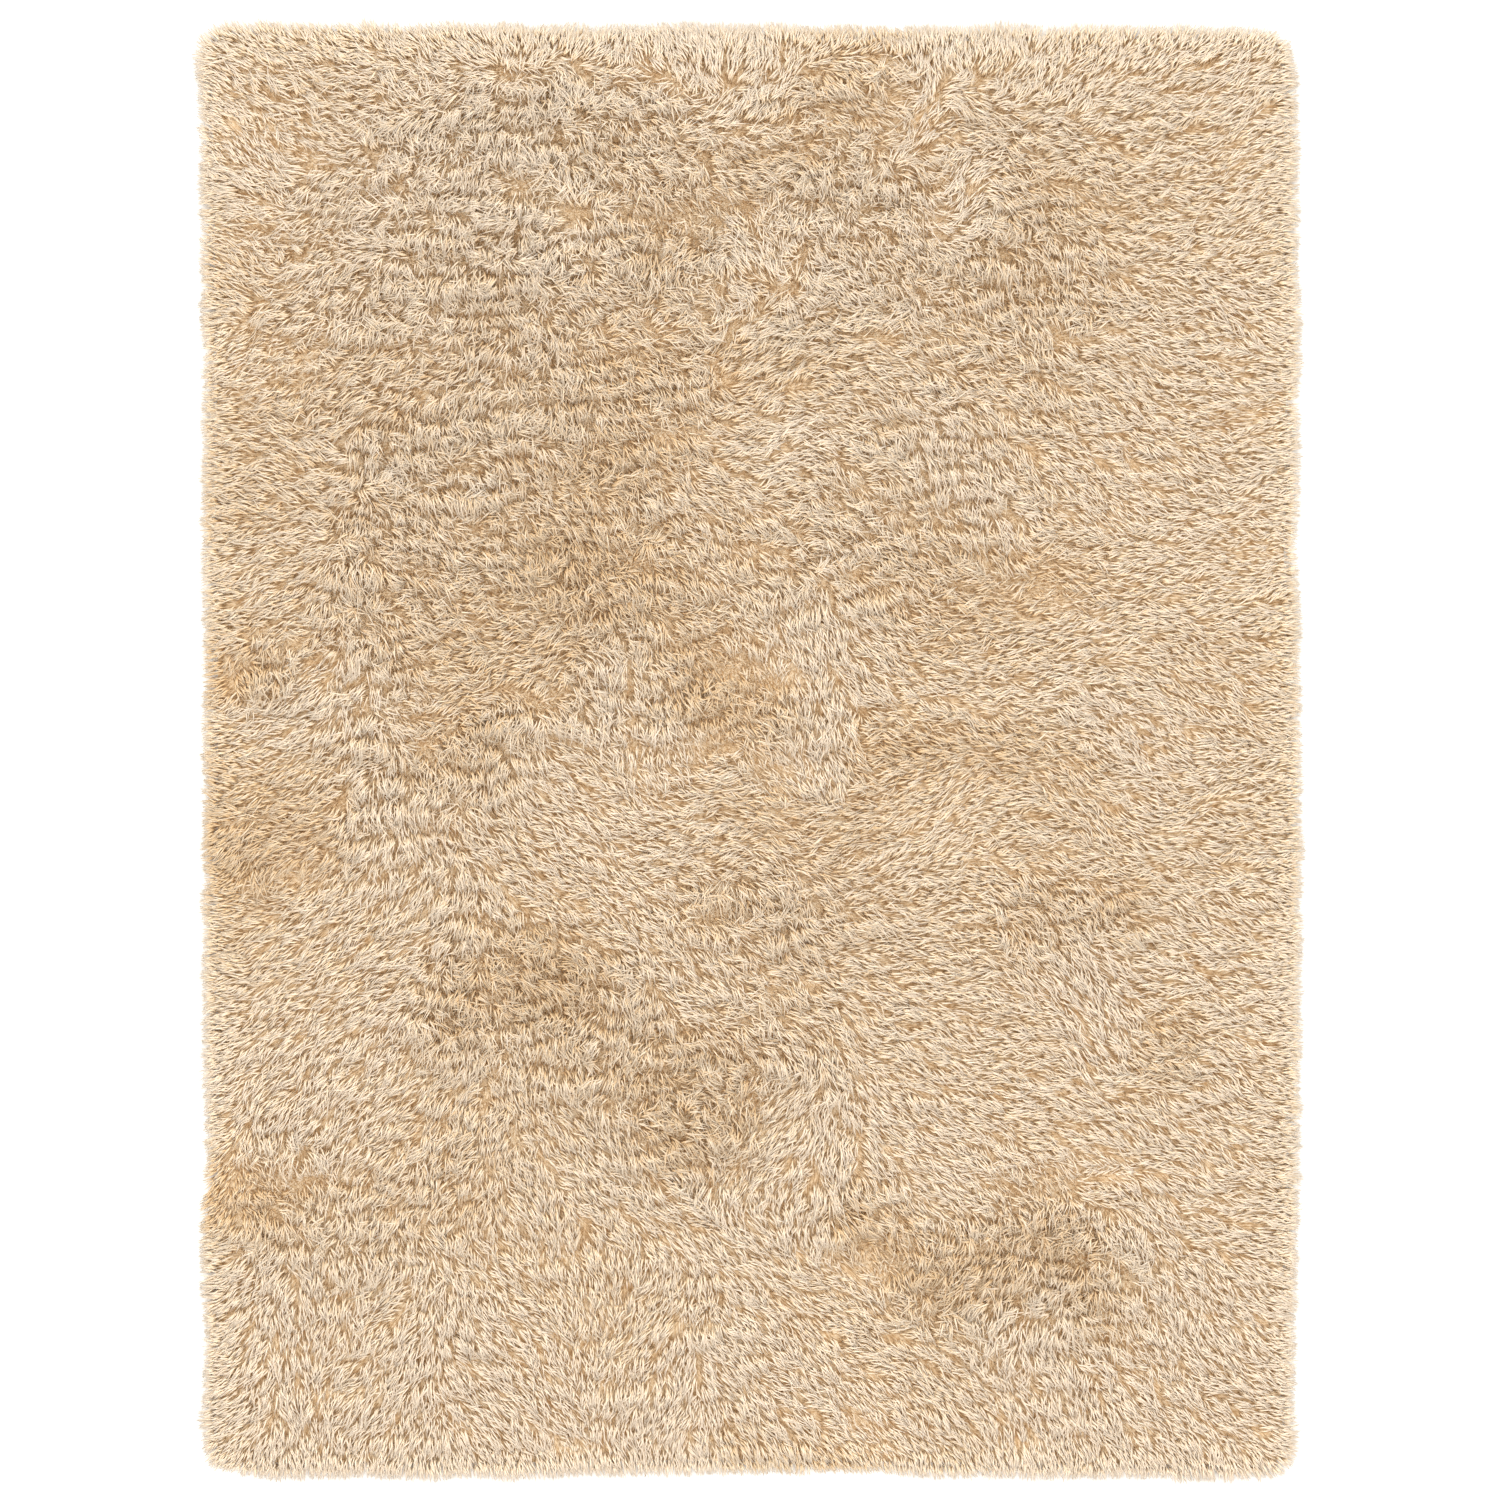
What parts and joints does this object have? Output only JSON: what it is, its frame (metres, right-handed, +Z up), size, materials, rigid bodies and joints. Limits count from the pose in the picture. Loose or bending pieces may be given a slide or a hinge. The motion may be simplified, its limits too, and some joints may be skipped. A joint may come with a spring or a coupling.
{
  "type": "shag rug",
  "caption": "Rectangular shag rug lying flat, with a dense long beige pile combed in many directions and pile locks standing out all round its rim.",
  "frame": {"origin": "on the floor, under the middle of the rug", "axes": "+Y along the rug, +X across it, +Z up through the pile"},
  "size_m": [1.6076, 2.1096, 0.048],
  "materials": {
    "pile": "long silky beige pile with a soft sheen, darker between the tufts"
  },
  "bodies": {
    "root": {"shag_rug": "pile"}
  },
  "joints": []
}
